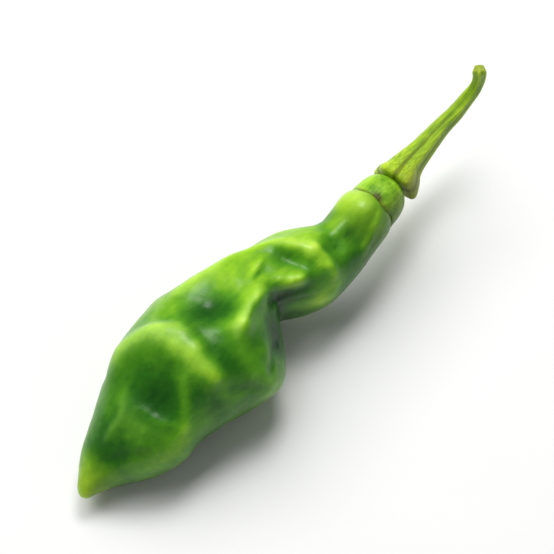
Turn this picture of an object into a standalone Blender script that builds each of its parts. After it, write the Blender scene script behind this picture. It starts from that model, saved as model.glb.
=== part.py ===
"""A seasoning pepper as picked: the pod lying on its belly, the calyx that caps it, and its stem.

Run it with blender --background --python part.py, or from Blender's text editor.
+X runs from the pod's tip to the stem, +Z is up, and the origin is in the flat spot that it rests on.
"""

import math

import bmesh
import bpy
from mathutils import Euler, Vector

MM = 0.001
MERGE_DISTANCE = 0.05 * MM

POD_GREEN, POD_ROUGHNESS = (0.13, 0.36, 0.03), 0.3
CALYX_GREEN, CALYX_ROUGHNESS = (0.2, 0.42, 0.05), 0.45
STEM_GREEN, STEM_ROUGHNESS = (0.42, 0.55, 0.05), 0.5

# The pod from its tip to the end under the calyx, in mm: how far along each place is, where its middle
# lies sideways and up, and its half width and half height there.
POD_STATIONS = [
    (-30.0, 1.8, 4.5, 0.9, 0.9),
    (-28.8, 2.0, 4.6, 1.5, 1.6),
    (-27.0, 2.3, 4.8, 2.5, 2.7),
    (-24.2, 2.2, 5.8, 4.3, 4.5),
    (-20.5, 1.2, 7.2, 6.7, 6.6),
    (-16.2, 0.8, 8.6, 8.8, 8.1),
    (-11.5, 1.7, 9.7, 9.9, 9.2),
    (-7.0, 1.8, 10.1, 10.6, 10.2),
    (-1.0, 0.7, 10.3, 12.0, 10.9),
    (5.0, -0.2, 10.3, 12.0, 10.9),
    (9.8, 0.6, 10.3, 9.3, 10.3),
    (13.9, 1.9, 10.5, 6.3, 9.1),
    (17.4, 0.3, 10.8, 6.9, 8.3),
    (20.8, -1.5, 11.3, 7.9, 7.7),
    (25.2, -2.8, 11.6, 7.1, 6.8),
    (29.2, -4.6, 12.1, 5.3, 5.6),
    (33.2, -4.7, 12.6, 5.0, 5.2),
    (36.6, -4.5, 13.1, 5.0, 5.0),
    (38.2, -4.5, 13.1, 4.4, 4.4),
    (39.2, -4.5, 13.1, 3.5, 3.5),
    (40.2, -4.5, 13.1, 3.3, 3.3),
    (41.6, -4.5, 13.1, 3.2, 3.2),
]
POD_TIP_ROUND = 0.9
POD_END_ROUND = 1.6
POD_AROUND = 64
POD_RINGS = 60
RING_CROWDING = 0.7
RING_CROWDED_END = 0.05

# Three lobes run along the pod, with shallow furrows between them.
LOBES = 3
LOBE_HEIGHT = 0.4
LOBE_ANGLE = 48.0
LOBED_FROM, LOBED_TO = -22.0, 18.0
LOBE_FADE = 9.0

# Ridges of the crumpled skin: height and half width in mm, then places on the crest as mm along the pod and
# degrees round it, from +Y up over the top.
RIDGES = [
    (0.9, 1.7, [(4, 48), (14, 50), (19, 58), (21.7, 70), (22.9, 100)]),
    (1.5, 1.6, [(18.2, 128), (14.4, 125), (10.6, 112), (7.8, 107), (4.5, 109)]),
    (0.8, 1.6, [(4.5, 109), (1.5, 122), (0.5, 145), (1.5, 168)]),
    (1.3, 2.1, [(-10.4, 46), (-6.2, 62), (-4.9, 84), (-4.9, 104), (-5.2, 128)]),
    (0.5, 2.6, [(-5.2, 128), (-6, 160), (-7.5, 192)]),
    (0.45, 1.1, [(-8.4, 115), (-10.4, 131), (-12.9, 148)]),
    (0.4, 1.4, [(23, 124), (24, 140)]),
    (0.5, 2.2, [(35, 50), (35, 90)]),
    (0.6, 2.2, [(-17, 330), (-6, 338), (3, 328), (12, 334)]),
    (0.6, 2.0, [(3, 328), (5, 350), (2, 372)]),
    (0.6, 2.0, [(-12, 222), (-3, 214), (3, 224), (7, 218)]),
    (0.5, 1.8, [(17, 215), (20, 250), (19, 290)]),
    (0.5, 1.8, [(27, 280), (29, 320), (27, 360)]),
    (0.4, 1.8, [(-21, 280), (-18, 310), (-19, 345)]),
]

# Dents: depth, half length along the pod and half width round it in mm, then where the middle is.
DENTS = [
    (1.4, 2.0, 3.2, 20.0, 96),
    (0.6, 1.6, 2.2, 26.0, 112),
    (0.9, 2.6, 2.6, 30.5, 112),
    (1.9, 3.8, 3.4, 4.4, 77),
    (1.8, 3.8, 6.0, -13.0, 98),
    (0.6, 2.4, 2.6, -23.0, 110),
    (1.6, 3.2, 3.6, 8.0, 150),
    (0.8, 3.2, 3.2, -10.0, 354),
    (0.9, 3.4, 3.4, 9.0, 356),
    (0.9, 3.4, 3.0, -3.0, 312),
    (0.8, 3.0, 3.0, 12.5, 308),
    (0.8, 3.0, 3.0, -8.0, 236),
    (0.9, 2.8, 3.0, 13.0, 244),
    (0.6, 2.4, 3.0, 24.0, 250),
    (0.7, 2.6, 3.0, 24.0, 330),
    (0.6, 2.6, 3.0, 33.0, 250),
    (0.6, 3.0, 3.0, -17.5, 238),
]

# The calyx is turned about the neck's own line. Its profile is in mm: how far out, and how far up the line
# from the margin.
NECK_Y = -4.5
NECK_Z = 13.1
CALYX_MARGIN_X = 39.3
CALYX_PROFILE = [
    (0.0, 4.5),
    (2.4, 4.5),
    (2.6, 4.35),
    (2.65, 4.15),
    (2.95, 3.95),
    (3.35, 3.7),
    (3.75, 3.1),
    (4.05, 2.1),
    (4.25, 1.0),
    (4.25, 0.3),
    (4.08, 0.0),
    (3.9, 0.25),
    (3.8, 0.9),
    (3.65, 1.6),
    (3.2, 2.35),
    (2.2, 2.65),
    (0.0, 2.7),
]
CALYX_AROUND = 48

# The stem from its flared foot to where it was picked, in mm: how far along it each place is, x, y and z
# there, and its half thickness.
STEM_STATIONS = [
    (0.0, 44.1, -4.5, 13.1, 3.4),
    (0.25, 44.35, -4.5, 13.1, 3.95),
    (0.7, 44.8, -4.5, 13.15, 4.1),
    (2.0, 46.0, -4.4, 13.3, 3.65),
    (4.1, 48.0, -4.2, 13.7, 2.8),
    (7.9, 51.7, -4.4, 14.4, 2.05),
    (10.8, 54.5, -4.5, 14.9, 1.7),
    (13.7, 57.3, -4.7, 15.6, 1.5),
    (16.7, 60.1, -5.1, 16.5, 1.35),
    (19.6, 62.7, -5.4, 17.8, 1.2),
    (22.4, 64.8, -5.7, 19.6, 1.05),
    (24.8, 65.7, -5.7, 21.8, 1.1),
    (26.2, 65.9, -5.5, 23.2, 1.15),
    (26.8, 65.9, -5.4, 23.8, 0.85),
]
STEM_RINGS = 46
STEM_FOOT_CROWDING = 1.6
STEM_SIDES = 20
STEM_RIBS = 5
STEM_RIB_HEIGHT = 0.06


def smooth(stations, place):
    """The sizes at a place, read from a smooth curve through the stations."""
    last = len(stations) - 1
    i = max(k for k in range(last) if stations[k][0] <= place or k == 0)
    before, here = stations[max(i - 1, 0)], stations[i]
    after, beyond = stations[i + 1], stations[min(i + 2, last)]
    span = after[0] - here[0]
    t = (place - here[0]) / span
    sizes = []
    for a, b, c, d in zip(before[1:], here[1:], after[1:], beyond[1:]):
        leave = (c - a) / (after[0] - before[0]) * span
        arrive = (d - b) / (beyond[0] - here[0]) * span
        sizes.append(
            b
            + leave * t
            + (3 * (c - b) - 2 * leave - arrive) * t**2
            + (2 * (b - c) + leave + arrive) * t**3
        )
    return sizes


def rounded(distance, radius):
    """How full a round end is at a distance in from where it closes, from 0 to 1."""
    if distance >= radius:
        return 1.0
    return math.sqrt(max(0.0, 1 - (1 - distance / radius) ** 2))


def turn_between(angle, other):
    """The way round from one angle to another in degrees, from -180 to 180."""
    return (other - angle + 180) % 360 - 180


def distance_to_crest(x, angle, places, radius):
    """How far a place on the skin is from a ridge's crest, in mm, where the pod has that radius."""
    nearest = math.inf
    per_degree = math.radians(radius)
    for (x0, angle0), (x1, angle1) in zip(places, places[1:]):
        start = Vector((x0 - x, turn_between(angle, angle0) * per_degree))
        run = Vector((x1 - x0, (angle1 - angle0) * per_degree))
        t = min(1.0, max(0.0, -start.dot(run) / run.length_squared))
        nearest = min(nearest, (start + run * t).length)
    return nearest


def relief(x, angle, radius):
    """How far the crumpled skin stands out from the plain form, in mm."""
    fade = min(1.0, max(0.0, min(x - LOBED_FROM, LOBED_TO - x) / LOBE_FADE))
    height = LOBE_HEIGHT * fade * math.cos(math.radians(LOBES * (angle - LOBE_ANGLE)))
    for rise, half_width, places in RIDGES:
        height += rise * math.exp(-((distance_to_crest(x, angle, places, radius) / half_width) ** 2))
    for depth, half_length, half_width, middle_x, middle_angle in DENTS:
        along = (x - middle_x) / half_length
        across = math.radians(turn_between(middle_angle, angle)) * radius / half_width
        height -= depth * math.exp(-(along**2) - across**2)
    return height


def pod_point(x, angle):
    """The pod's skin at x along it, angle degrees round it from +Y up over the top, in mm."""
    y, z, half_width, half_height = smooth(POD_STATIONS, x)
    full = rounded(x - POD_STATIONS[0][0], POD_TIP_ROUND) * rounded(POD_STATIONS[-1][0] - x, POD_END_ROUND)
    across, up = math.cos(math.radians(angle)), math.sin(math.radians(angle))
    outward = Vector((across / half_width, up / half_height)).normalized()
    stands_out = relief(x, angle, (half_width + half_height) / 2)
    y += full * (half_width * across + stands_out * outward.x)
    z += full * (half_height * up + stands_out * outward.y)
    return Vector((x, y, max(z, 0.0)))


def ring_places():
    """How far along the pod each ring stands, in mm, with the rings closer together at the two round ends."""
    slack = RING_CROWDING * RING_CROWDED_END
    shares = []
    for ring in range(POD_RINGS + 1):
        t = ring / POD_RINGS
        gained = math.exp(-t / RING_CROWDED_END) - math.exp((t - 1) / RING_CROWDED_END)
        shares.append(t + slack * gained)
    tip, end = POD_STATIONS[0][0], POD_STATIONS[-1][0]
    return [tip + (end - tip) * (share - shares[0]) / (shares[-1] - shares[0]) for share in shares]


def skin_material(name, colour, roughness):
    """A plain coloured skin."""
    material = bpy.data.materials.new(name)
    material.use_nodes = True
    shader = material.node_tree.nodes["Principled BSDF"]
    shader.inputs["Base Color"].default_value = (*colour, 1.0)
    shader.inputs["Roughness"].default_value = roughness
    shader.inputs["Metallic"].default_value = 0.0
    return material


def build_pod(collection):
    """The pod: a sphere drawn out through the stations, crumpled, and flat where it rests."""
    mesh = bpy.data.meshes.new("pod")
    shape = bmesh.new()
    bmesh.ops.create_uvsphere(shape, u_segments=POD_AROUND, v_segments=POD_RINGS, radius=1.0)
    places = ring_places()
    for corner in shape.verts:
        ring = round(POD_RINGS * math.acos(max(-1.0, min(1.0, -corner.co.z))) / math.pi)
        angle = math.degrees(math.atan2(corner.co.y, corner.co.x))
        corner.co = pod_point(places[ring], angle) * MM
    shape.to_mesh(mesh)
    shape.free()
    mesh.shade_smooth()
    mesh.materials.append(skin_material("pod_skin", POD_GREEN, POD_ROUGHNESS))
    pod = bpy.data.objects.new("pod", mesh)
    collection.objects.link(pod)


def build_calyx(collection):
    """The calyx: a turned cap whose underside follows the pod's end, with a small gap."""
    mesh = bpy.data.meshes.new("calyx")
    profile = [(out * MM, 0.0, up * MM) for out, up in CALYX_PROFILE]
    mesh.from_pydata(profile, [(i, i + 1) for i in range(len(profile) - 1)], [])
    mesh.materials.append(skin_material("calyx_skin", CALYX_GREEN, CALYX_ROUGHNESS))
    calyx = bpy.data.objects.new("calyx", mesh)
    calyx.location = (CALYX_MARGIN_X * MM, NECK_Y * MM, NECK_Z * MM)
    calyx.rotation_euler = Euler((0.0, math.pi / 2, 0.0))
    turned = calyx.modifiers.new("turned", "SCREW")
    turned.steps = CALYX_AROUND
    turned.render_steps = CALYX_AROUND
    turned.use_merge_vertices = True
    turned.merge_threshold = MERGE_DISTANCE
    turned.use_smooth_shade = True
    collection.objects.link(calyx)


def build_stem(collection):
    """The stem: a ribbed tube that flares at its foot and hooks up at the end it was picked by."""
    section = bpy.data.curves.new("stem_section", "CURVE")
    section.dimensions = "2D"
    outline = section.splines.new("POLY")
    outline.points.add(STEM_SIDES - 1)
    for side, point in enumerate(outline.points):
        turn = -2 * math.pi * side / STEM_SIDES
        reach = (1 + STEM_RIB_HEIGHT * math.cos(STEM_RIBS * turn)) * MM
        point.co = (reach * math.cos(turn), reach * math.sin(turn), 0.0, 1.0)
    outline.use_cyclic_u = True
    guide = bpy.data.objects.new("stem_section", section)
    guide.hide_render = True
    guide.display_type = "WIRE"
    guides = bpy.data.collections.new("guides")
    bpy.context.scene.collection.children.link(guides)
    guides.objects.link(guide)

    route = bpy.data.curves.new("stem", "CURVE")
    route.dimensions = "3D"
    route.bevel_mode = "OBJECT"
    route.bevel_object = guide
    route.use_fill_caps = True
    run = route.splines.new("POLY")
    run.points.add(STEM_RINGS)
    for ring, point in enumerate(run.points):
        place = STEM_STATIONS[-1][0] * (ring / STEM_RINGS) ** STEM_FOOT_CROWDING
        x, y, z, half_thickness = smooth(STEM_STATIONS, place)
        point.co = (x * MM, y * MM, z * MM, 1.0)
        point.radius = half_thickness
    run.use_smooth = True
    route.materials.append(skin_material("stem_skin", STEM_GREEN, STEM_ROUGHNESS))
    stem = bpy.data.objects.new("stem", route)
    collection.objects.link(stem)


def main():
    for left_over in list(bpy.data.objects):
        bpy.data.objects.remove(left_over)
    pepper = bpy.data.collections.new("seasoning_pepper")
    bpy.context.scene.collection.children.link(pepper)
    build_pod(pepper)
    build_calyx(pepper)
    build_stem(pepper)


if __name__ == "__main__":
    main()
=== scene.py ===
# %% [markdown]
# # A seasoning pepper, just picked
#
# Seasoning peppers are small, mild relatives of the habanero. The pod is crumpled and waxy, it narrows to
# a neck, and a calyx and a thin ribbed stem close it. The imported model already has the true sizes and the
# big folds. This script gives it the finish of the real thing: fine folds, a living green skin, a calyx
# with a toothed edge, a ribbed stem, and the light of a plain white studio.
#
# Its nodes stay as they are, to measure from and to be replaced by finer pieces at the end.

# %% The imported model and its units
import math
from contextlib import contextmanager

import bmesh
import bpy
import numpy as np
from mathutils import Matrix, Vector
from mathutils.bvhtree import BVHTree


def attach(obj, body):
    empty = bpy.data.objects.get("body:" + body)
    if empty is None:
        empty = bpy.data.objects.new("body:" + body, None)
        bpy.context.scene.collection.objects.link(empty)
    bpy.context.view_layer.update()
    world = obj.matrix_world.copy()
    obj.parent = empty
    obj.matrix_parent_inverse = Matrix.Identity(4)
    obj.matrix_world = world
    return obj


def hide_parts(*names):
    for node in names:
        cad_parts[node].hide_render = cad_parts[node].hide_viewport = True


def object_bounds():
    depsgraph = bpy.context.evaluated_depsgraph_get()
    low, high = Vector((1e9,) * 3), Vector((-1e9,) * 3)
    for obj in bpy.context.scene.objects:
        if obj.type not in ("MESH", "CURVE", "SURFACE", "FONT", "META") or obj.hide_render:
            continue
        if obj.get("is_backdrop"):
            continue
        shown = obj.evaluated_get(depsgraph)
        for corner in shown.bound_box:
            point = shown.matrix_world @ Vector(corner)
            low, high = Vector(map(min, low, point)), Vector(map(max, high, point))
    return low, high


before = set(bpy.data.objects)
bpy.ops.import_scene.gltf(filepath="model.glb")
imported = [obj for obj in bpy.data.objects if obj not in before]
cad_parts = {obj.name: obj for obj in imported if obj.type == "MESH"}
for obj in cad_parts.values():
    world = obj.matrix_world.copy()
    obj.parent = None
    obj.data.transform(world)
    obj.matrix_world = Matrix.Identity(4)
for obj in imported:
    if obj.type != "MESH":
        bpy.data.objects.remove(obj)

MM = 0.001
cad_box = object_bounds()
print("packed nodes:", sorted(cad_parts))
print("packed size in mm:", [round((high - low) / MM, 1) for low, high in zip(*cad_box)])

# %% [markdown]
# ## Working as by hand
#
# Blender's operators act on whatever is selected, and a freshly loaded model comes in selected. These
# helpers take hold of one piece alone, open it in edit mode, and finish it with a modifier that is applied
# at once, so that each later step reads like a step at the desk.

# %% Helpers for one piece at a time
def take(piece):
    """Selects one piece alone and makes it the active one."""
    bpy.ops.object.select_all(action="DESELECT")
    piece.select_set(True)
    bpy.context.view_layer.objects.active = piece


@contextmanager
def editing(piece):
    """Edit mode on one piece's vertices, with nothing selected to begin with."""
    take(piece)
    bpy.ops.object.mode_set(mode="EDIT")
    bpy.ops.mesh.select_mode(type="VERT")
    bpy.ops.mesh.select_all(action="DESELECT")
    yield
    bpy.ops.object.mode_set(mode="OBJECT")


def pick(piece, numbers):
    """Selects the vertices with these numbers, in edit mode."""
    bpy.ops.mesh.select_all(action="DESELECT")
    shape = bmesh.from_edit_mesh(piece.data)
    shape.verts.ensure_lookup_table()
    for number in numbers:
        shape.verts[number].select = True
    shape.select_flush(True)
    bmesh.update_edit_mesh(piece.data)


def finish_with(piece, kind, **settings):
    """Adds a modifier with these settings and applies it."""
    take(piece)
    modifier = piece.modifiers.new(kind.lower(), kind)
    for name, value in settings.items():
        setattr(modifier, name, value)
    bpy.ops.object.modifier_apply(modifier=modifier.name)


def places_of(piece):
    """Where the vertices are, one row each."""
    found = np.zeros(3 * len(piece.data.vertices))
    piece.data.vertices.foreach_get("co", found)
    return found.reshape(-1, 3)


def normals_of(piece):
    """Which way each vertex faces, one row each."""
    found = np.zeros(3 * len(piece.data.vertices))
    piece.data.vertices.foreach_get("normal", found)
    return found.reshape(-1, 3)


def keep_values(piece, name, values):
    """Stores a number for each vertex as an attribute that a material can read."""
    attribute = piece.data.attributes.new(name, "FLOAT", "POINT")
    attribute.data.foreach_set("value", np.asarray(values, np.float32))
    print(piece.name, name, "from", round(float(np.min(values)), 2), "to", round(float(np.max(values)), 2))


# %% [markdown]
# ## The pod's skin
#
# The pod grew as one piece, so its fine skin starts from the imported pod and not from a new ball. The packed
# mesh is loose triangles. A copy of it is merged, its triangles are paired up into quads, and a subdivision
# rounds it off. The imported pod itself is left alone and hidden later.

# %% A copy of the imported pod, merged and rounded
MERGE_DISTANCE = 0.001 * MM
PAIRING_ANGLE = math.radians(60)

pod = bpy.data.objects.new("pod_skin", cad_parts["pod"].data.copy())
bpy.context.scene.collection.objects.link(pod)
with editing(pod):
    bpy.ops.mesh.select_all(action="SELECT")
    bpy.ops.mesh.remove_doubles(threshold=MERGE_DISTANCE)
    bpy.ops.mesh.tris_convert_to_quads(face_threshold=PAIRING_ANGLE, shape_threshold=PAIRING_ANGLE)
    bpy.ops.mesh.customdata_custom_splitnormals_clear()
finish_with(pod, "SUBSURF", levels=1, render_levels=1)
print("pod skin:", len(pod.data.vertices), "vertices")

# %% [markdown]
# ## Fine folds
#
# As a pod of this kind swells, its skin buckles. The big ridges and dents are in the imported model. The
# finer ones are drawn here the way a sculptor would, with small dabs of proportional editing along a line
# on the skin. Dabs that stand half a reach apart add up to one even ridge, at twice the height of a dab.

# %% Places on the skin, and a stroke along them
MIDDLE_LINE = np.array([  # x, y, z in mm
    (-30.0, 1.8, 4.5), (-27.0, 2.3, 4.8), (-24.2, 2.2, 5.8), (-20.5, 1.2, 7.2), (-16.2, 0.8, 8.6),
    (-11.5, 1.7, 9.7), (-7.0, 1.8, 10.1), (-1.0, 0.7, 10.3), (5.0, -0.2, 10.3), (9.8, 0.6, 10.3),
    (13.9, 1.9, 10.5), (17.4, 0.3, 10.8), (20.8, -1.5, 11.3), (25.2, -2.8, 11.6), (29.2, -4.6, 12.1),
    (33.2, -4.7, 12.6), (36.6, -4.5, 13.1), (41.6, -4.5, 13.1),
])
pod_tree = BVHTree.FromObject(pod, bpy.context.evaluated_depsgraph_get())
pod_rest = places_of(pod)


def skin_at(x, turn):
    """The place on the skin at x mm along the pod, turn degrees round it from +Y over the top."""
    y, z = (np.interp(x, MIDDLE_LINE[:, 0], MIDDLE_LINE[:, axis]) for axis in (1, 2))
    angle = math.radians(turn)
    outward = Vector((0.0, math.cos(angle), math.sin(angle)))
    return pod_tree.ray_cast(Vector((x, y, z)) * MM, outward)[0]


def nearest_vertex(place):
    """The number of the vertex nearest to a place."""
    return int(np.argmin(((pod_rest - np.array(place)) ** 2).sum(axis=1)))


def nudge(way, reach):
    """Moves what is selected by this way in metres, and softly what lies within reach mm of it."""
    bpy.ops.transform.translate(
        value=way,
        use_proportional_edit=True,
        proportional_edit_falloff="SMOOTH",
        proportional_size=reach * MM,
    )


def stroke(piece, rise, reach, marks):
    """Draws a ridge through the marks, or a crease where rise is below zero, both in mm."""
    corners = [skin_at(*mark) for mark in marks]
    stops = []
    for start, end in zip(corners, corners[1:]):
        count = max(1, round((end - start).length / (reach * MM / 2)))
        stops += [start.lerp(end, step / count) for step in range(count)]
    for place in stops + [corners[-1]]:
        nearest = nearest_vertex(place)
        pick(piece, [nearest])
        shape = bmesh.from_edit_mesh(piece.data)
        shape.verts.ensure_lookup_table()
        nudge(shape.verts[nearest].normal * rise * MM / 2, reach)


print("the middle line runs through", len(MIDDLE_LINE), "places")

# %% [markdown]
# Each fold is a stroke through marks on the skin. The ridges and hollows on the side that shows follow the
# photograph, and the rest are of the same kind. Most are a third of a millimetre high, and none is a
# millimetre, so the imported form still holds.

# %% The fine folds of the pod
# Rise in mm, reach in mm, and the marks, each as x in mm and turn in degrees.
FINE_FOLDS = [
    (0.3, 1.6, [(18.4, 127), (15.4, 126), (13.6, 123), (10.3, 111)]),
    (-0.3, 1.6, [(28.6, 60), (28.2, 78), (27.4, 95), (27.6, 116)]),
    (0.45, 2.6, [(-5.4, 62), (-3.0, 72), (-2.4, 90), (-3.0, 106)]),
    (0.25, 1.2, [(-15.5, 97), (-15.0, 125), (-13.9, 145)]),
    (-0.3, 1.3, [(10.5, 162), (8.5, 156), (6.0, 150), (3.0, 156)]),
    (0.3, 1.3, [(24.3, 96), (24.6, 113), (24.0, 130), (23.0, 148)]),
    (0.3, 1.3, [(19.0, 150), (15.0, 146), (12.0, 140)]),
    (0.25, 1.4, [(30.0, 150), (33.0, 140), (36.0, 128)]),
    (-0.2, 1.2, [(-4.0, 148), (0.0, 160), (3.0, 176)]),
    (0.25, 1.5, [(-22.0, 84), (-18.5, 78), (-15.0, 66)]),
    (-0.12, 1.6, [(-25.5, 100), (-22.5, 118), (-19.0, 140)]),
    (0.25, 1.3, [(12.4, 96), (15.0, 92), (17.0, 82)]),
    (-0.3, 1.4, [(-14.0, 20), (-7.0, 8), (0.0, 2)]),
    (0.3, 1.4, [(-4.0, 348), (-1.0, 332), (0.0, 318)]),
    (-0.3, 1.3, [(14.0, 340), (16.5, 322), (17.0, 300)]),
    (0.3, 1.3, [(24.0, 10), (25.5, 350), (25.0, 326)]),
    (-0.25, 1.2, [(30.0, 20), (31.0, 350), (30.5, 320)]),
    (0.3, 1.3, [(-14.0, 300), (-11.0, 318), (-12.5, 336)]),
    (-0.25, 1.2, [(20.0, 224), (22.5, 240), (22.0, 262)]),
    (0.25, 1.3, [(-20.0, 210), (-16.0, 218), (-12.0, 212)]),
]
with editing(pod):
    for rise, reach, marks in FINE_FOLDS:
        stroke(pod, rise, reach, marks)
print("fine folds drawn:", len(FINE_FOLDS))

# %% [markdown]
# A second subdivision smooths the dabs. Two soft cloud patterns then make the skin gently uneven, as a
# living one is. Each pushes the vertices in and out by a fraction of a millimetre. The flat spot that the
# pod rests on is pressed level again afterwards.

# %% Soft unevenness
SKIN_WAVES = (("swell", 5.0, 0.3), ("ripple", 1.8, 0.08))  # name, size and depth in mm


def clouds_of(name, size):
    """A soft cloud pattern with spots of this size in mm."""
    clouds = bpy.data.textures.new(name, "CLOUDS")
    clouds.noise_scale = size * MM
    return clouds


finish_with(pod, "SUBSURF", levels=1, render_levels=1)
for name, size, depth in SKIN_WAVES:
    finish_with(pod, "DISPLACE", texture=clouds_of(name, size), strength=depth * MM, mid_level=0.5)

places = places_of(pod)
places[:, 2] = np.maximum(places[:, 2], 0.0)
pod.data.vertices.foreach_set("co", places.ravel())
take(pod)
bpy.ops.object.shade_smooth()
print("pod skin:", len(pod.data.vertices), "vertices, lowest at", places[:, 2].min())

# %% [markdown]
# ## Drawing out a straight piece
#
# The calyx and the stem are both a ring of points drawn out along a line, wider here and narrower there. So
# each starts as a circle. Edit mode extrudes its rim to the next place, and scales it to the next size. The
# stem has five soft ribs, which end as the five corners of its foot and go on as faint ribs of the calyx.
# They are made once, on the first circle, and every later ring keeps them.

# %% A ribbed circle, and drawing it out
RING_POINTS = 40
RIB_COUNT = 5
FIRST_RIB = math.radians(130)


def turn_of(place):
    """The angle round the X axis, from +Y over the top."""
    return math.atan2(place[2], place[1])


def rib_swing(place):
    """An angle whose cosine is 1 on a rib and -1 in a furrow."""
    return (turn_of(place) - FIRST_RIB) * RIB_COUNT


def ribbed_circle(name, radius, rib):
    """A circle round the X axis with five soft ribs, in mm."""
    bpy.ops.object.select_all(action="DESELECT")
    upright = (0, math.radians(90), 0)
    bpy.ops.mesh.primitive_circle_add(vertices=RING_POINTS, radius=radius * MM, rotation=upright)
    piece = bpy.context.object
    piece.name = name
    bpy.ops.object.transform_apply(location=False, rotation=True, scale=False)
    first = turn_of(piece.data.vertices[0].co)
    with editing(piece):
        bpy.ops.mesh.select_all(action="SELECT")
        bpy.ops.transform.rotate(value=first - FIRST_RIB, orient_axis="X", center_override=(0, 0, 0))
    swings = [rib_swing(place) for place in places_of(piece)]
    with editing(piece):
        for number, swing in enumerate(swings):
            pick(piece, [number])
            grown = 1 + rib * (math.cos(swing) + 0.3 * math.cos(2 * swing))
            bpy.ops.transform.resize(value=(1, grown, grown), center_override=(0, 0, 0))
    return piece


def draw_out(piece, rings):
    """Extrudes the circle through rings given as (place along X, radius) in mm, and closes the end."""
    with editing(piece):
        bpy.ops.mesh.select_all(action="SELECT")
        bpy.ops.transform.translate(value=(rings[0][0] * MM, 0, 0))
        for (x, radius), (next_x, next_radius) in zip(rings, rings[1:]):
            bpy.ops.mesh.extrude_region_move(TRANSFORM_OT_translate={"value": ((next_x - x) * MM, 0, 0)})
            grown = next_radius / radius
            bpy.ops.transform.resize(value=(1, grown, grown), center_override=(0, 0, 0))
        bpy.ops.mesh.edge_face_add()
        bpy.ops.mesh.select_all(action="SELECT")
        bpy.ops.mesh.normals_make_consistent(inside=False)
    print(piece.name, "drawn out through", len(rings), "rings")


# %% [markdown]
# ## The stem
#
# The stem is modelled straight, because a straight piece is easy to measure and to groove. Its foot flares
# like a small bell over a narrow groove, its shaft tapers, and its end is a little clubbed, where the stalk
# broke from the plant. A curve modifier then bends it to its real line.

# %% The stem, drawn out straight
# Place along the stem and radius, both in mm.
STEM_RINGS = [
    (0.0, 1.6), (0.02, 2.4), (0.05, 3.1), (0.2, 3.62), (0.5, 3.94), (0.95, 4.06), (1.4, 3.98), (1.9, 3.74),
    (2.5, 3.42), (3.1, 3.14), (4.1, 2.8), (5.4, 2.46), (6.9, 2.2), (8.6, 1.97), (10.5, 1.75), (12.6, 1.58),
    (14.8, 1.46), (17.0, 1.36), (19.2, 1.24), (21.2, 1.13), (22.9, 1.06), (24.2, 1.06), (25.1, 1.12),
    (25.8, 1.16), (26.2, 1.1), (26.5, 0.92), (26.62, 0.66), (26.6, 0.34),
]
STEM_RIB = 0.08
FOOT_RIM = (0.3 * MM, 1.0 * MM)
NEAR_A_RIB = 0.9
CORNER_PULL = -0.3
CORNER_REACH = 2.0
KNOT_SIZE = 3.0
KNOT_DEPTH = 0.16

stem = ribbed_circle("stem_stalk", STEM_RINGS[0][1], STEM_RIB)
draw_out(stem, STEM_RINGS)
rim = [v for v in stem.data.vertices if FOOT_RIM[0] < v.co.x < FOOT_RIM[1]]
corners = [v.index for v in rim if math.cos(rib_swing(v.co)) > NEAR_A_RIB]
with editing(stem):
    pick(stem, corners)
    nudge((CORNER_PULL * MM, 0, 0), CORNER_REACH)
finish_with(stem, "SUBSURF", levels=2, render_levels=2)
knots = clouds_of("knots", KNOT_SIZE)
finish_with(stem, "DISPLACE", texture=knots, strength=KNOT_DEPTH * MM, mid_level=0.5)
print("corners of the stem's foot drawn back:", len(corners), "points")

# %% [markdown]
# The stalk grew towards the light and then sagged, so its line rises slowly and hooks up at the end. The
# straight places are kept first, as an attribute, because the fibres' pattern has to follow the stem and
# not cut across its bend.

# %% Its straight places are kept, and it is bent to its line
STEM_LINE = [
    (44.1, -4.5, 13.1), (46.0, -4.4, 13.3), (48.0, -4.2, 13.7), (51.7, -4.4, 14.4), (54.5, -4.5, 14.9),
    (57.3, -4.7, 15.6), (60.1, -5.1, 16.5), (62.7, -5.4, 17.8), (64.8, -5.7, 19.6), (65.7, -5.7, 21.8),
    (65.8, -5.5, 23.2), (65.8, -5.4, 23.8),
]


def keep_straight(piece):
    """Stores where each vertex is now, in mm, so that a pattern can follow the piece when it is bent."""
    attribute = piece.data.attributes.new("straight", "FLOAT_VECTOR", "POINT")
    attribute.data.foreach_set("vector", (places_of(piece) / MM).ravel().astype(np.float32))


keep_straight(stem)
line = bpy.data.curves.new("stem_line", "CURVE")
line.dimensions = "3D"
line.resolution_u = 16
run = line.splines.new("BEZIER")
run.bezier_points.add(len(STEM_LINE) - 1)
for point, stop in zip(run.bezier_points, STEM_LINE):
    point.co = Vector(stop) * MM
    point.handle_left_type = point.handle_right_type = "AUTO"
guide = bpy.data.objects.new("stem_line", line)
bpy.context.scene.collection.objects.link(guide)
finish_with(stem, "CURVE", object=guide, deform_axis="POS_X")
bpy.data.objects.remove(guide)
take(stem)
bpy.ops.object.shade_smooth()
reach = places_of(stem) / MM
print("stem:", len(reach), "vertices, from", reach.min(axis=0).round(1), "to", reach.max(axis=0).round(1))

# %% [markdown]
# ## The calyx
#
# The calyx is the green cup that held the flower. It clasps the shoulder of the pod. Its edge ends in five
# blunt teeth, and waves a little, because no leaf ends in a true circle. It is pressed on to the pod with a
# shrinkwrap modifier, so that no gap shows.

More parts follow.
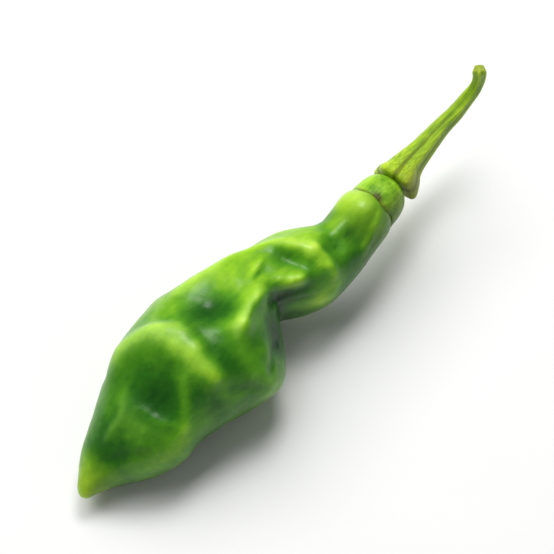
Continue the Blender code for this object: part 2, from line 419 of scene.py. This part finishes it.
# %% The calyx, drawn out and pressed on to the pod
NECK = (39.3, -4.5, 13.1)
CALYX_RINGS = [
    (-0.95, 4.2), (-1.0, 4.5), (-0.6, 4.5), (-0.1, 4.46), (0.5, 4.42), (1.1, 4.34), (1.8, 4.22),
    (2.5, 4.04), (3.1, 3.8), (3.55, 3.5), (3.85, 3.2), (4.05, 2.9), (4.2, 2.6), (4.5, 2.3), (4.8, 2.1),
]
CALYX_RIB = 0.012
EDGE_END = -0.8 * MM
ON_A_TOOTH = 0.6
TOOTH_LENGTH = 0.5
TOOTH_REACH = 1.4
EDGE_WAVES = ((3, 0.3), (9, -0.25), (16, 0.2), (22, -0.3), (30, 0.25), (37, -0.2))  # point, step in mm
WAVE_REACH = 1.2
EDGE_LIFT = 0.08
CALYX_KNOT_DEPTH = 0.14

calyx = ribbed_circle("calyx_cup", CALYX_RINGS[0][1], CALYX_RIB)
draw_out(calyx, CALYX_RINGS)
edge = [v for v in calyx.data.vertices if v.co.x < EDGE_END]
teeth = [v.index for v in edge if math.cos(rib_swing(v.co)) > ON_A_TOOTH]
with editing(calyx):
    pick(calyx, teeth)
    nudge((-TOOTH_LENGTH * MM, 0, 0), TOOTH_REACH)
    bpy.ops.mesh.select_all(action="SELECT")
    bpy.ops.transform.translate(value=Vector(NECK) * MM)
with editing(calyx):
    for number, step in EDGE_WAVES:
        pick(calyx, [number, number + RING_POINTS])
        nudge((step * MM, 0, 0), WAVE_REACH)
for name, first_point, above in (("underside", 0, 0.0), ("edge", RING_POINTS, EDGE_LIFT)):
    calyx.vertex_groups.new(name=name).add(range(first_point, first_point + RING_POINTS), 1.0, "REPLACE")
    finish_with(
        calyx, "SHRINKWRAP", target=pod, vertex_group=name, wrap_mode="ABOVE_SURFACE", offset=above * MM
    )
finish_with(calyx, "SUBSURF", levels=2, render_levels=2)
finish_with(calyx, "DISPLACE", texture=knots, strength=CALYX_KNOT_DEPTH * MM, mid_level=0.4)
take(calyx)
bpy.ops.object.shade_smooth()
print("calyx:", len(calyx.data.vertices), "vertices")

# %% [markdown]
# ## What stands proud
#
# On the real skin the crests are a little pale and yellowish, because the wall is stretched thin over a
# crest. Here the crests are painted paler still, as painted light, and the hollows deep green, as painted
# shade. To paint that, the material needs to know how far each point stands out of the form around it. A
# copy of the pod is smoothed until its folds melt, and the distance from it to the real skin, along the
# skin's normal, is kept as an attribute.

# %% Relief as an attribute
def relief_of(piece, times):
    """How far each vertex stands out of a smoothed copy, in mm."""
    melted = bpy.data.objects.new("melted", piece.data.copy())
    bpy.context.scene.collection.objects.link(melted)
    with editing(melted):
        bpy.ops.mesh.select_all(action="SELECT")
        bpy.ops.mesh.vertices_smooth(factor=0.5, repeat=times)
    proud = ((places_of(piece) - places_of(melted)) * normals_of(piece)).sum(axis=1) / MM
    bpy.data.objects.remove(melted)
    return proud


FOLDS_MELT, CREASES_MELT = 260, 30
keep_values(pod, "relief", relief_of(pod, FOLDS_MELT))
keep_values(pod, "crease", relief_of(pod, CREASES_MELT))

# %% [markdown]
# ## Paler and deeper patches, mostly painted light and shade
#
# Most of these patches are painted light and painted shade: they lighten flanks, crests and the upper edge,
# and darken the hollows and the waist where shade falls. A few are the skin's own paler and deeper green. A
# painter would dab them on by hand. Here each is a stroke through marks on the skin, like the folds, with a
# strength and a soft reach in mm. Their sum is kept as one more attribute.

# %% The patches as an attribute
# Strength, reach in mm, and the marks.
# Most patches are painted light and painted shade, and a few are the skin's own paler and deeper green.
LIGHT_SHADE_AND_TONE_PATCHES = [
    (0.16, 5.0, [(-26.4, 50), (-26.3, 115)]),
    (0.22, 4.0, [(-24.0, 160), (-15.2, 155), (-10.0, 162)]),
    (0.08, 3.4, [(-3.8, 160), (-4.7, 140)]),
    (0.1, 3.0, [(-24.0, 20), (-18.0, 22), (-12.0, 30)]),
    (-0.13, 6.0, [(-12.4, 110)]),
    (0.14, 3.0, [(-5.5, 91), (-4.8, 114), (-4.7, 126)]),
    (-0.22, 4.2, [(1.3, 78), (5.7, 90)]),
    (0.2, 2.2, [(11.0, 122), (7.5, 122)]),
    (-0.08, 1.6, [(6.2, 109), (8.0, 109)]),
    (0.12, 2.6, [(14.1, 95)]),
    (0.3, 2.4, [(17.3, 131), (14.0, 125)]),
    (0.16, 2.6, [(23.8, 104), (23.0, 127)]),
    (0.18, 3.6, [(20.0, 160), (23.0, 158)]),
    (0.36, 3.8, [(16.0, 172), (19.0, 176)]),
    (0.08, 1.4, [(-8.2, 114), (-10.4, 131), (-12.9, 148)]),
    (-0.3, 3.2, [(9.3, 150), (8.2, 160)]),
    (-0.2, 3.4, [(31.0, 36)]),
    (-0.06, 2.6, [(30.3, 113)]),
    (0.1, 2.4, [(34.7, 147)]),
]
STOPS_PER_STRETCH = 8


def painted(piece, patches):
    """The strength of the patches at each vertex."""
    spots = places_of(piece)
    total = np.zeros(len(spots))
    for strength, reach, marks in patches:
        order = range(len(marks))
        steps = np.linspace(0, order[-1], STOPS_PER_STRETCH * order[-1] + 1)
        line = [skin_at(*(np.interp(step, order, column) for column in zip(*marks))) for step in steps]
        gaps = np.min([np.linalg.norm(spots - np.array(stop), axis=1) for stop in line], axis=0)
        near = np.clip(1 - gaps / (reach * MM), 0, 1)
        total += strength * near * near * (3 - 2 * near)
    return total


keep_values(pod, "patches", painted(pod, LIGHT_SHADE_AND_TONE_PATCHES))

# %% [markdown]
# ## Shader maths as Python
#
# A material is easier to read as a formula than as a net of nodes. This class wraps one socket. Adding,
# subtracting or multiplying two of them adds the Math node that does it, and any other node comes from the
# one method `add`.

# %% A socket that can be calculated with
class Signal:
    """One output of a material's nodes."""

    def __init__(self, tree, socket=None):
        self.tree = tree
        self.socket = socket

    def add(self, kind, settings=None, inputs=None, output=0):
        """Adds a node, sets it up, fills its sockets with values or links, and gives one output."""
        node = self.tree.nodes.new("ShaderNode" + kind)
        for name, value in (settings or {}).items():
            if name == "stops":
                while len(node.color_ramp.elements) < len(value):
                    node.color_ramp.elements.new(1.0)
                for element, (position, colour) in zip(node.color_ramp.elements, value):
                    element.position = position
                    element.color = colour
            else:
                setattr(node, name, value)
        for name, value in (inputs or {}).items():
            if isinstance(value, Signal):
                self.tree.links.new(value.socket, node.inputs[name])
            else:
                node.inputs[name].default_value = value
        return Signal(self.tree, node.outputs[output])

    def maths(self, operation, first, second=0.0):
        return self.add("Math", {"operation": operation}, {0: first, 1: second})

    def __add__(self, other):
        return self.maths("ADD", self, other)

    __radd__ = __add__

    def __mul__(self, other):
        return self.maths("MULTIPLY", self, other)

    __rmul__ = __mul__

    def __sub__(self, other):
        return self.maths("SUBTRACT", self, other)

    def __rsub__(self, other):
        return self.maths("SUBTRACT", other, self)

    def between(self, low, high):
        """A soft step: 0 where this is at low, 1 where it is at high."""
        return self.add(
            "MapRange",
            {"interpolation_type": "SMOOTHSTEP"},
            {"Value": self, "From Min": low, "From Max": high},
        )

    def blend(self, first, second):
        """The first colour where this is 0, and the second where it is 1."""
        return self.add("Mix", {"data_type": "RGBA"}, {0: self, 6: first, 7: second}, 2)

    def ramp(self, *stops):
        """The colour that these stops give, each a place from 0 to 1 and its colour."""
        return self.add("ValToRGB", {"stops": stops}, {0: self})

    def noise(self, scale, detail=2.0, roughness=0.5):
        """Soft noise at these coordinates, from about 0 to 1."""
        settings = {"Vector": self, "Scale": scale, "Detail": detail, "Roughness": roughness}
        return self.add("TexNoise", {}, settings)

    def stretched(self, x, y, z):
        """These coordinates, multiplied along each axis."""
        return self.add("VectorMath", {"operation": "MULTIPLY"}, {0: self, 1: (x, y, z)})

    def part(self, axis):
        """The x, y or z of these coordinates, asked for as 0, 1 or 2."""
        return self.add("SeparateXYZ", {}, {"Vector": self}, axis)


def rgb(red, green, blue):
    """A colour as a screen shows it, 0 to 255, turned into the light values that Blender mixes."""
    parts = [part / 255 for part in (red, green, blue)]
    linear = [part / 12.92 if part <= 0.04045 else ((part + 0.055) / 1.055) ** 2.4 for part in parts]
    return (*linear, 1.0)


def new_finish(name, **sockets):
    """A material with these uniform values on its shader, its shader, and its places in mm."""
    material = bpy.data.materials.new(name)
    material.use_nodes = True
    tree = material.node_tree
    shader = tree.nodes["Principled BSDF"]
    for socket, value in sockets.items():
        shader.inputs[socket.replace("_", " ")].default_value = value
    place = Signal(tree).add("TexCoord", output=3).stretched(1 / MM, 1 / MM, 1 / MM)
    return material, shader, place


def wire(material, shader, socket, signal):
    """Feeds a shader's socket from a signal."""
    material.node_tree.links.new(signal.socket, shader.inputs[socket])


def bump(signal, distance):
    """A bump of this height in mm."""
    return signal.add("Bump", {}, {"Height": signal, "Distance": distance * MM, "Strength": 1.0})


def dress(piece, finish):
    """Gives a piece this finish alone."""
    piece.data.materials.clear()
    piece.data.materials.append(finish)
    print(piece.name, "finish:", len(finish.node_tree.nodes), "nodes")


# %% [markdown]
# ## The pod's finish
#
# The skin is waxed: softly glossy over flesh that lets some light in. So the shader has a thin coat for the
# wax and a little subsurface scattering for the flesh. One number, the tone, runs from deep green in the
# hollows to yellow green on the crests, and a colour ramp turns it into a colour. The hollows are darkened as
# painted shade and the crests are partly painted light. The kept relief and the painted patches of light and
# shade make most of it, and the side that faces the main light is painted lighter. Streaks along the pod,
# blotches and a fine grain keep it from looking painted. At the tip, at the neck and on the belly the green
# goes over to lime. Last comes a faint pale sheen painted on the crests that face the main light, a painted
# highlight.

# %% The pod's material
POD_GREENS = (
    (0.0, rgb(8, 58, 8)),
    (0.3, rgb(38, 100, 14)),
    (0.55, rgb(84, 148, 22)),
    (0.8, rgb(146, 198, 38)),
    (1.0, rgb(196, 232, 72)),
)
LIME_GREENS = (
    (0.0, rgb(54, 84, 12)),
    (0.35, rgb(106, 136, 28)),
    (0.7, rgb(164, 192, 48)),
    (1.0, rgb(208, 234, 84)),
)
# The colour of a painted highlight, a pale sheen on the crests that face the main light.
PAINTED_SHEEN = rgb(186, 226, 122)
# The way the main light comes from: the skin that faces it is painted lighter, as painted light.
MAIN_LIGHT_SIDE = (0.0, 0.8, 0.6)

pod_finish, shader, place = new_finish(
    "pod_waxy_skin",
    Subsurface_Weight=0.16,
    Subsurface_Radius=(0.5, 1.0, 0.2),
    Subsurface_Scale=1.2 * MM,
    Coat_Weight=0.28,
    Coat_Roughness=0.24,
    Specular_IOR_Level=0.16,
)
relief = place.add("Attribute", {"attribute_name": "relief"}, output=2)
crease = place.add("Attribute", {"attribute_name": "crease"}, output=2)
patches = place.add("Attribute", {"attribute_name": "patches"}, output=2)
blotch = place.noise(0.14, detail=3.0)
mottle = place.noise(0.55, detail=2.0)
streak = place.stretched(0.18, 1.0, 1.0).noise(0.9, detail=4.0, roughness=0.6)
grain = place.noise(2.6, detail=3.0)

along = place.part(0)
outward = place.add("TexCoord", output=1)
lightward = outward.add("VectorMath", {"operation": "DOT_PRODUCT"}, {0: outward, 1: MAIN_LIGHT_SIDE}, 1)
# Painted light: the side that faces the main light, and the shoulder on that side, are painted lighter.
painted_lit_side = lightward.between(-0.2, 1.0) * along.between(-26.0, 2.0)
shoulder = along.between(2.0, 12.0) * lightward.between(-0.4, 0.6)
neck = along.between(27.0, 34.0)
tip = along.between(-23.0, -29.0)
belly = outward.part(2).between(0.3, -0.5)

# The relief and the creases paint the hollows darker, as painted shade, and the crests paler, partly as
# painted light. The patches add painted light and shade.
tone = relief.between(-1.3, 1.4) * 0.54 + crease * 0.25 + painted_lit_side * 0.28 + shoulder * 0.14 + tip * 0.22
tone = tone + (blotch - 0.5) * 0.26 + (mottle - 0.5) * 0.1 + (streak - 0.5) * 0.16 + (grain - 0.5) * 0.05
tone = tone + patches + 0.01
lime = tip * 0.6 + neck * 0.3 + belly * 0.3
colour = lime.blend(tone.ramp(*POD_GREENS), tone.ramp(*LIME_GREENS))
# A painted highlight: a pale sheen painted on the crests that face the main light.
colour = (relief.between(0.2, 1.1) * lightward.between(0.0, 0.7) * 0.32).blend(colour, PAINTED_SHEEN)
wire(pod_finish, shader, "Base Color", colour)
wire(pod_finish, shader, "Roughness", 0.38 + (grain - 0.5) * 0.12 + (blotch - 0.5) * 0.1)

pores = place.noise(3.2, detail=2.0)
dimples = place.noise(0.9, detail=2.0)
wire(pod_finish, shader, "Normal", bump(pores * 0.25 + dimples, 0.1))
dress(pod, pod_finish)

# %% [markdown]
# ## The stem's finish
#
# The stem is duller than the pod, because it is leafy and not waxed. It is striped lengthwise by its
# fibres, and its furrows are corky towards the foot. The pattern follows the kept straight places, so the
# stripes bend as the stem bends. The cut end has dried to tan. The flank of the foot that faces away from the
# main light is painted brown and dark, partly its own browning and partly painted shade.

# %% The stem's material
STEM_GREENS = (
    (0.1, rgb(74, 106, 16)),
    (0.45, rgb(134, 172, 34)),
    (0.7, rgb(176, 208, 44)),
    (0.95, rgb(210, 234, 66)),
)
DRIED_CUT = rgb(150, 128, 66)
FOOT_UNDERSIDE_OLIVE = rgb(120, 112, 40)
CORK = rgb(84, 82, 20)
# Brown of the foot's flank away from the main light, partly its own browning and partly painted shade.
BROWN_AND_SHADED_FLANK = rgb(96, 88, 28)

stem_finish, shader, place = new_finish("stem_fibrous_green", Specular_IOR_Level=0.3)
straight = place.add("Attribute", {"attribute_name": "straight"}, output=1)
fibres = straight.stretched(0.06, 3.4, 3.4).noise(1.0, detail=4.0, roughness=0.65)
patches = straight.noise(0.35, detail=3.0)
along, across, above = (straight.part(axis) for axis in range(3))
turn = above.maths("ARCTAN2", above, across)
ribs = turn.maths("COSINE", (turn - FIRST_RIB) * RIB_COUNT)
foot = along.between(7.0, 1.0)
tip = along.between(23.5, 26.5)

tone = 0.47 + (fibres - 0.5) * 1.15 + (patches - 0.5) * 0.4 + foot * 0.18 + tip * 0.06 + ribs * 0.09
colour = tone.ramp(*STEM_GREENS)
colour = (along.between(26.3, 26.6) * 0.35).blend(colour, DRIED_CUT)
# The underside of the foot's rim is tinted olive.
colour = (along.between(0.25, 0.05) * 0.3).blend(colour, FOOT_UNDERSIDE_OLIVE)
furrow = ribs.between(-0.65, -1.0) * along.between(20.0, 4.0) * fibres.between(0.3, 0.5)
colour = (furrow * 0.7).blend(colour, CORK)
# The flank of the foot away from the main light is painted brown and dark: partly its own browning, partly
# painted shade.
colour = (across.between(0.0, -3.4) * foot * 0.6).blend(colour, BROWN_AND_SHADED_FLANK)
wire(stem_finish, shader, "Base Color", colour)
wire(stem_finish, shader, "Roughness", 0.42 + (patches - 0.5) * 0.2)
wire(stem_finish, shader, "Normal", bump(fibres, 0.16))
dress(stem, stem_finish)

# %% [markdown]
# ## The calyx's finish
#
# The calyx is a leaf, so it has a leaf's patches and lengthwise veins. It is painted paler on the side that
# faces the main light, as painted light, and olive on the other, as painted shade. Its edge is brown where it
# is dry, and a brown scar marks where it once split from the pod.

# %% The calyx's material
CALYX_GREENS = (
    (0.1, rgb(44, 88, 12)),
    (0.5, rgb(104, 156, 30)),
    (0.8, rgb(160, 210, 48)),
)
DRY_EDGE = rgb(104, 96, 32)
SHADE_OLIVE = rgb(72, 84, 20)
SCAR_BROWN = rgb(66, 58, 20)
SCAR = (-0.9, -0.8, 4.4)

calyx_finish, shader, place = new_finish("calyx_leafy_green", Specular_IOR_Level=0.3)
local = place.add("VectorMath", {"operation": "SUBTRACT"}, {0: place, 1: NECK})
patches = local.noise(0.5, detail=4.0)
veins = local.stretched(0.25, 1.6, 1.6).noise(1.0, detail=3.0)
along, across = (local.part(axis) for axis in (0, 1))
# Painted light: the side of the calyx that faces the main light is painted paler.
calyx_lit_side = across.between(0.5, 4.0)

tone = 0.5 + (patches - 0.5) * 0.7 + (veins - 0.5) * 0.5 + along.between(-0.6, 2.0) * 0.12 + calyx_lit_side * 0.3
colour = tone.ramp(*CALYX_GREENS)
edge_line = along.between(-0.6, -1.2) * patches.between(0.35, 0.6)
colour = (edge_line * 0.6).blend(colour, DRY_EDGE)
# Painted shade: the side of the calyx away from the main light is painted olive.
colour = (across.between(-1.0, -4.2) * 0.55).blend(colour, SHADE_OLIVE)
ragged = local.add("VectorMath", {"operation": "DISTANCE"}, {0: local, 1: SCAR}, 1) + (veins - 0.5) * 1.6
colour = (ragged.between(1.5, 0.4) * 0.85).blend(colour, SCAR_BROWN)
wire(calyx_finish, shader, "Base Color", colour)
wire(calyx_finish, shader, "Roughness", 0.4 + (patches - 0.5) * 0.2)
wire(calyx_finish, shader, "Normal", bump(veins + patches, 0.1))
dress(calyx, calyx_finish)

# %% [markdown]
# ## Into the frame
#
# Each finished piece rides on the one body that the imported model has, and takes the place of its imported
# node.

# %% The pieces take their places
for piece, node in ((pod, "pod"), (calyx, "calyx"), (stem, "stem")):
    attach(piece, "root")
    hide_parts(node)
print("pieces in place:", pod.name, calyx.name, stem.name)

# %% [markdown]
# ## The camera
#
# The photograph looks down on the pepper from over its tip, with the pod at the lower left and the stem at
# the upper right. A long lens from half a metre away keeps the long pod from being stretched.

# %% The camera
AZIMUTH, ELEVATION = math.radians(-51), math.radians(62)
LENS, SENSOR = 200.0, 36.0
VIEW_WIDTH = 92 * MM

low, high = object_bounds()
level = math.cos(ELEVATION)
back = Vector((math.sin(AZIMUTH) * level, -math.cos(AZIMUTH) * level, math.sin(ELEVATION)))
lens = bpy.data.cameras.new("camera")
lens.lens, lens.sensor_width = LENS, SENSOR
camera = bpy.data.objects.new("camera", lens)
bpy.context.scene.collection.objects.link(camera)
camera.rotation_mode = "QUATERNION"
camera.rotation_quaternion = (-back).to_track_quat("-Z", "Y")
camera.location = (low + high) / 2 + back * VIEW_WIDTH * LENS / SENSOR
bpy.context.scene.camera = camera
print("camera stands off by", round(VIEW_WIDTH * LENS / SENSOR, 3), "m")

# %% [markdown]
# ## The studio
#
# The photograph has the white, soft light of a product picture, with the main light from the upper left.
# One large soft light does that here, and a weak one lifts the shade. The waxy skin would mirror the large
# one as a white veil, so it is hidden from reflections, and the gloss shows a small window light instead.
# The floor is plain and pale.

# %% The floor and the lights
bpy.ops.object.select_all(action="DESELECT")
bpy.ops.mesh.primitive_plane_add(size=6.0, location=(0.0, 0.0, 0.0))
floor = bpy.context.object
floor.name = "floor"
floor_finish, shader, place = new_finish("pale_floor", Roughness=0.6, Specular_IOR_Level=0.2)
wire(floor_finish, shader, "Base Color", place.noise(0.02).blend(rgb(234, 234, 232), rgb(240, 240, 239)))
dress(floor, floor_finish)
floor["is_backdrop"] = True

picture_right = camera.rotation_quaternion @ Vector((1, 0, 0))
picture_up = camera.rotation_quaternion @ Vector((0, 1, 0))


def softbox(name, right, up, toward, distance, size, energy, mirrored=True):
    """An area light that stands off the pepper in the picture's own directions and faces it."""
    lamp = bpy.data.lights.new(name, "AREA")
    lamp.size, lamp.energy = size, energy
    holder = bpy.data.objects.new(name, lamp)
    bpy.context.scene.collection.objects.link(holder)
    way = (picture_right * right + picture_up * up + back * toward).normalized()
    holder.location = way * distance
    holder.rotation_mode = "QUATERNION"
    holder.rotation_quaternion = way.to_track_quat("Z", "Y")
    holder.visible_glossy = mirrored


softbox("window", right=0.1, up=0.8, toward=0.6, distance=0.6, size=0.2, energy=1.3)
softbox("skylight", right=-0.45, up=0.9, toward=0.75, distance=1.2, size=1.2, energy=15.0, mirrored=False)
softbox("bounce", right=0.8, up=-0.7, toward=0.5, distance=0.8, size=0.6, energy=0.7)

world = bpy.data.worlds.new("studio")
bpy.context.scene.world = world
world.use_nodes = True
background = world.node_tree.nodes["Background"]
background.inputs["Color"].default_value = rgb(250, 251, 255)
background.inputs["Strength"].default_value = 0.2
bpy.context.scene.view_settings.view_transform = "Standard"
print("lights:", [light.name for light in bpy.data.lights])

# %% [markdown]
# ## The sizes
#
# Both boxes, the imported model's and the finished pieces', are gathered in metres, and the shown size is
# printed in mm. The finished pieces have to stay inside the imported model's box.

# %% The sizes, and the last line
boxes = {"cad": [list(corner) for corner in cad_box], "visual": [list(corner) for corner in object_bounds()]}
print("shown size in mm:", [round((high - low) / MM, 1) for low, high in zip(*boxes["visual"])])
